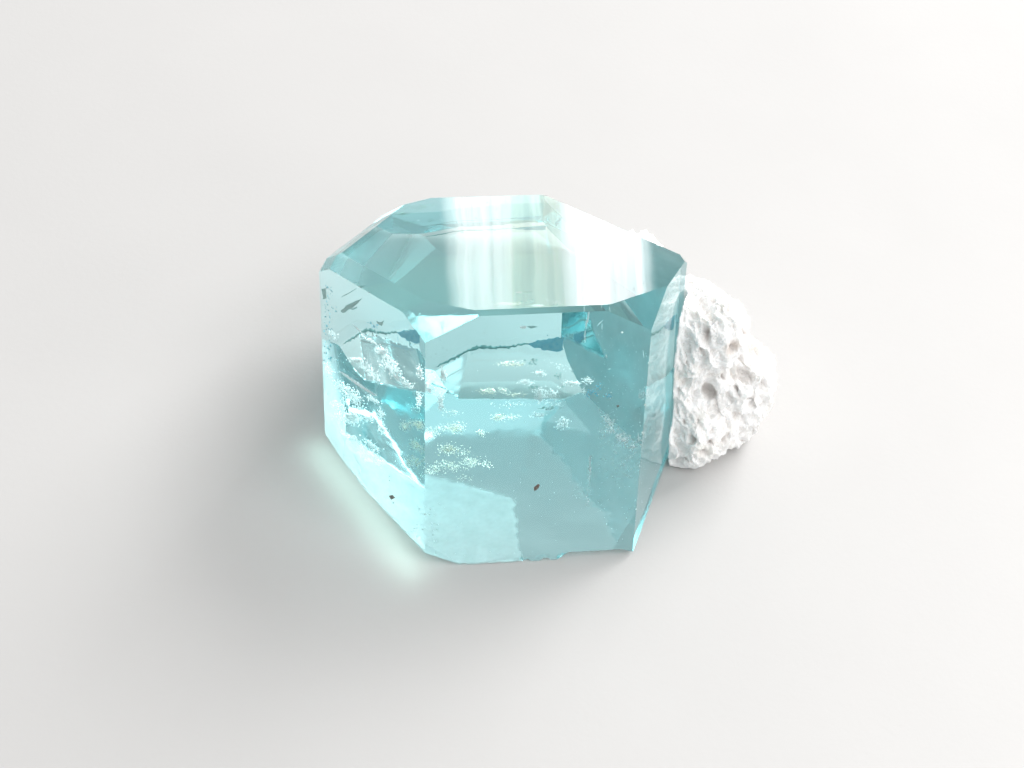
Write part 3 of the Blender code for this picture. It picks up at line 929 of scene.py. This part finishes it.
# A tan stain in the largest hollow.
near = node(nd, "ShaderNodeVectorMath", -600, 500, operation="DISTANCE")
near.inputs[1].default_value = cavity
lk.new(co.outputs["Object"], near.inputs[0])
stain = node(nd, "ShaderNodeMix", 250, 200)
stain.data_type = "RGBA"
stain.inputs["B"].default_value = (0.78, 0.64, 0.53, 1)
lk.new(spread(nd, lk, near.outputs["Value"], -300, 500, 0.0002, 0.0012, 0.75, 0.0), stain.inputs["Factor"])
# painted shade: the dents get a grey colour that stands in for the shade falling in them
deepened = node(nd, "ShaderNodeAttribute", 0, 500)
deepened.attribute_name = "hollow_shade"
dent_shade = node(nd, "ShaderNodeMix", 120, 350)
dent_shade.data_type = "RGBA"
dent_shade.inputs["B"].default_value = (0.66, 0.63, 0.61, 1)
lk.new(deepened.outputs["Fac"], dent_shade.inputs["Factor"])
lk.new(crease_shade.outputs["Result"], dent_shade.inputs["A"])
lk.new(dent_shade.outputs["Result"], stain.inputs["A"])
lk.new(stain.outputs["Result"], s.inputs["Base Color"])
lk.new(grain2.outputs["Fac"], bump2.inputs["Height"])
lk.new(grain.outputs["Distance"], bump.inputs["Height"])
lk.new(bump2.outputs["Normal"], bump.inputs["Normal"])
lk.new(bump.outputs["Normal"], s.inputs["Normal"])
set_in(s, "Roughness", 0.48)
set_in(s, "IOR", 1.53)
set_in(s, "Subsurface Weight", 0.35)
set_in(s, "Subsurface Radius", (1.0, 0.95, 0.9))
set_in(s, "Subsurface Scale", 0.0006)
lk.new(s.outputs["BSDF"], out.inputs["Surface"])
albite.data.materials.clear()
albite.data.materials.append(m)
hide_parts("albite_matrix")
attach(albite, "root")

# ---------------------------------------------------------------- stage
bm = bmesh.new()
bmesh.ops.create_grid(bm, x_segments=1, y_segments=1, size=0.7)
floor = mesh_object("floor", bm)
floor.location.z = -0.0001
m, nd, lk = new_material("paper")
out = node(nd, "ShaderNodeOutputMaterial", 600, 0)
s = node(nd, "ShaderNodeBsdfPrincipled", 200, 0)
co = node(nd, "ShaderNodeTexCoord", -900, 0)
mottle = node(nd, "ShaderNodeTexNoise", -600, 200, Scale=60.0, Detail=4.0)
fibre = node(nd, "ShaderNodeTexNoise", -600, -200, Scale=1400.0, Detail=4.0, Roughness=0.6)
shade = node(nd, "ShaderNodeMix", -200, 200)
shade.data_type = "RGBA"
shade.inputs["A"].default_value = (0.492, 0.487, 0.482, 1)
shade.inputs["B"].default_value = (0.520, 0.515, 0.510, 1)
grainy = node(nd, "ShaderNodeBump", -100, -200, Strength=0.25, Distance=0.00006)
for n_ in (mottle, fibre):
    lk.new(co.outputs["Object"], n_.inputs["Vector"])
lk.new(mottle.outputs["Fac"], shade.inputs["Factor"])
lk.new(shade.outputs["Result"], s.inputs["Base Color"])
lk.new(fibre.outputs["Fac"], grainy.inputs["Height"])
lk.new(grainy.outputs["Normal"], s.inputs["Normal"])
set_in(s, "Roughness", 0.8)
lk.new(s.outputs["BSDF"], out.inputs["Surface"])
floor.data.materials.append(m)


def aim(obj, target):
    direction = Vector(target) - obj.location
    obj.rotation_euler = direction.to_track_quat("-Z", "Y").to_euler()


def area(name, place, target, size, size_y, energy, colour=(1, 1, 1)):
    data = bpy.data.lights.new(name, "AREA")
    data.shape = "RECTANGLE"
    data.size = size
    data.size_y = size_y
    data.energy = energy
    data.color = colour
    lamp = link(bpy.data.objects.new(name, data))
    lamp.location = place
    aim(lamp, target)
    return lamp


area("window", (0.54, 0.485, 0.47), (-0.02, 0.0, 0.01), 0.47, 0.50, 9.3, (1.0, 0.99, 0.98))
area("fill", (0.42, -0.19, 0.62), (0.01, 0.0, 0.01), 0.40, 0.30, 1.6, (1.0, 1.0, 1.0))
bounce = area("bounce", (0.10, -0.08, 0.05), (0.022, 0.0, 0.008), 0.05, 0.05, 0.034, (1.0, 0.99, 0.98))
bounce.visible_camera = bounce.visible_glossy = bounce.visible_transmission = False

# A paler card hidden under the crystal keeps its underside bright: painted light, its paler colour stands in for the
# light the crystal gathers onto the paper beneath it.
bm = bmesh.new()
bm.faces.new([bm.verts.new(Vector((x, y, -0.03)) * MM) for x, y in ((-11.8, -15.0), (3.4, -15.2), (9.2, -6.2), (0.4, 11.5), (-13.1, 11.5), (-19.0, -2.4))])
card = mesh_object("caustic_light_card", bm)
m, nd, lk = new_material("caustic_light_card")
out = node(nd, "ShaderNodeOutputMaterial", 600, 0)
s = node(nd, "ShaderNodeBsdfPrincipled", 200, 0)
co = node(nd, "ShaderNodeTexCoord", -900, 0)
mottle = node(nd, "ShaderNodeTexNoise", -600, 200, Scale=900.0, Detail=3.0)
lk.new(co.outputs["Object"], mottle.inputs["Vector"])
lk.new(spread(nd, lk, mottle.outputs["Fac"], -300, 0, 0.3, 0.7, 0.7, 0.9), s.inputs["Roughness"])
set_in(s, "Base Color", (0.66, 0.66, 0.63, 1))
lk.new(s.outputs["BSDF"], out.inputs["Surface"])
card.data.materials.append(m)

# The paper just behind and under the spall is drawn as a paler card with a faint mottled glow: painted light that
# stands in for the light coming through the crystal.
bm = bmesh.new()
bm.faces.new([bm.verts.new(Vector((x, y, -0.02)) * MM) for x, y in ((-15.6, 7.4), (2.6, 7.4), (0.3, 11.55), (-13.3, 11.55))])
glowing_card = mesh_object("glow_card", bm)
m, nd, lk = new_material("glow_card")
out = node(nd, "ShaderNodeOutputMaterial", 600, 0)
s = node(nd, "ShaderNodeBsdfPrincipled", 200, 0)
co = node(nd, "ShaderNodeTexCoord", -900, 0)
mottle = node(nd, "ShaderNodeTexNoise", -600, 200, Scale=300.0, Detail=3.0)
lk.new(co.outputs["Object"], mottle.inputs["Vector"])
# painted light: a faint emission makes this card glow
lk.new(spread(nd, lk, mottle.outputs["Fac"], -300, 0, 0.3, 0.7, 0.03, 0.05), s.inputs["Emission Strength"])
set_in(s, "Emission Color", (1.0, 1.0, 0.94, 1))
set_in(s, "Base Color", (0.60, 0.60, 0.59, 1))
set_in(s, "Roughness", 0.8)
lk.new(s.outputs["BSDF"], out.inputs["Surface"])
glowing_card.data.materials.append(m)

# The light that the crystal gathers and throws on the paper along its lower left side.
glow = area("glow", (-0.0181, -0.0103, 0.0018), (-0.0181, -0.0103, 0.0), 0.017, 0.0014, 0.00017, (0.60, 1.0, 0.86))
glow.rotation_euler = (0, 0, math.atan2(14.46, -7.86))
glow.visible_camera = glow.visible_glossy = glow.visible_transmission = False

glow = area("glow_behind", (-0.004, 0.0148, 0.0045), (-0.004, 0.0148, 0.0), 0.019, 0.006, 0.00018, (0.95, 1.0, 0.98))
glow.visible_camera = glow.visible_glossy = glow.visible_transmission = False

world = bpy.data.worlds.new("room")
scene.world = world
world.use_nodes = True
nd, lk = world.node_tree.nodes, world.node_tree.links
nd.clear()
out = node(nd, "ShaderNodeOutputWorld", 400, 0)
bg = node(nd, "ShaderNodeBackground", 200, 0)
sky = node(nd, "ShaderNodeTexCoord", -800, 0)
sep = node(nd, "ShaderNodeSeparateXYZ", -600, 0)
ramp = node(nd, "ShaderNodeValToRGB", -300, 0)
ramp.color_ramp.interpolation = "EASE"
e = ramp.color_ramp.elements
e[0].position, e[0].color = 0.02, (0.36, 0.365, 0.36, 1)
e[1].position, e[1].color = 1.0, (1.0, 0.995, 0.99, 1)
for pos, v in ((0.37, 0.60), (0.54, 0.72), (0.80, 1.0)):
    q = e.new(pos)
    q.color = (v, v, v * 0.995, 1)
lk.new(sky.outputs["Generated"], sep.inputs["Vector"])
lk.new(sep.outputs["Z"], ramp.inputs["Fac"])
lk.new(ramp.outputs["Color"], bg.inputs["Color"])
set_in(bg, "Strength", 0.95)
lk.new(bg.outputs["Background"], out.inputs["Surface"])
# Light that is thrown back and forth inside the crystal needs more bounces than the usual four.
scene.cycles.max_bounces = 14
scene.cycles.glossy_bounces = 8
scene.cycles.transmission_bounces = 11


def panel(name, az0, az1, low, high, distance, strength, stops):
    """An upright bright band at the back, between two azimuths from +Y towards +X, brighter and dimmer across. Only reflections see it."""
    bm = bmesh.new()
    uv = bm.loops.layers.uv.new("UVMap")
    steps = 24
    rows = []
    for i in range(steps + 1):
        a = math.radians(az0 + (az1 - az0) * i / steps)
        p = Vector((math.sin(a), math.cos(a), 0)) * distance
        rows.append((i / steps, bm.verts.new(p + Vector((0, 0, low))), bm.verts.new(p + Vector((0, 0, high)))))
    for (u0, a0, b0), (u1, a1, b1) in zip(rows, rows[1:]):
        f = bm.faces.new((a0, a1, b1, b0))
        for loop, at in zip(f.loops, ((u0, 0), (u1, 0), (u1, 1), (u0, 1))):
            loop[uv].uv = at
    obj = mesh_object(name, bm)
    m, nd, lk = new_material(name)
    out = node(nd, "ShaderNodeOutputMaterial", 800, 0)
    uvn = node(nd, "ShaderNodeUVMap", -1000, 0)
    sep = node(nd, "ShaderNodeSeparateXYZ", -400, 0)
    bend = node(nd, "ShaderNodeMapping", -1000, -300)
    set_in(bend, "Scale", (26.0, 0.8, 1.0))
    streak = node(nd, "ShaderNodeTexNoise", -800, -300, Scale=1.0, Detail=3.0)
    wave = spread(nd, lk, streak.outputs["Fac"], -600, -300, 0.3, 0.7, 0.72, 1.25)
    ramp = node(nd, "ShaderNodeValToRGB", -200, 0)
    ramp.color_ramp.interpolation = "EASE"
    e = ramp.color_ramp.elements
    e[0].position, e[0].color = 0.0, (0, 0, 0, 1)
    e[1].position, e[1].color = 1.0, (0, 0, 0, 1)
    for pos, colour in stops:
        q = e.new(pos)
        q.color = (*colour, 1)
    mul = node(nd, "ShaderNodeMath", 0, -300, operation="MULTIPLY")
    mul.inputs[1].default_value = strength
    em = node(nd, "ShaderNodeEmission", 200, 0)
    tr = node(nd, "ShaderNodeBsdfTransparent", 200, -200)
    add = node(nd, "ShaderNodeAddShader", 500, 0)
    lk.new(uvn.outputs["UV"], sep.inputs["Vector"])
    lk.new(uvn.outputs["UV"], bend.inputs["Vector"])
    lk.new(bend.outputs["Vector"], streak.inputs["Vector"])
    lk.new(wave, mul.inputs[0])
    lk.new(mul.outputs["Value"], em.inputs["Strength"])
    lk.new(sep.outputs["X"], ramp.inputs["Fac"])
    lk.new(ramp.outputs["Color"], em.inputs["Color"])
    lk.new(em.outputs["Emission"], add.inputs[0])
    lk.new(tr.outputs["BSDF"], add.inputs[1])
    lk.new(add.outputs["Shader"], out.inputs["Surface"])
    obj.data.materials.append(m)
    obj.visible_camera = False
    obj.visible_shadow = False
    obj.visible_diffuse = False
    obj.visible_transmission = False
    return obj


panel(
    "window_glow", 4.0, 16.4, 0.001, 0.10, 0.40, 6.0,
    ((0.03, (0.0, 0.0, 0.0)), (0.13, (0.60, 0.59, 0.57)), (0.28, (0.62, 0.61, 0.58)), (0.36, (0.36, 0.38, 0.30)),
     (0.52, (0.40, 0.41, 0.34)), (0.61, (1.0, 1.0, 1.0)), (0.85, (1.0, 1.0, 1.0)), (0.95, (0.0, 0.0, 0.0))),
)

# ---------------------------------------------------------------- camera
data = bpy.data.cameras.new("camera")
data.sensor_width = 36.0
data.lens = 36.0 * FOCAL / 1024.0
data.clip_start = 0.001
data.clip_end = 10.0
camera = link(bpy.data.objects.new("camera", data))
turn = Matrix((CAM_RIGHT, CAM_UP, CAM_BACK)).transposed().to_4x4()
camera.matrix_world = Matrix.Translation(CAM_AT) @ turn
scene.camera = camera

scene.view_settings.view_transform = "Standard"
scene.view_settings.look = "None"
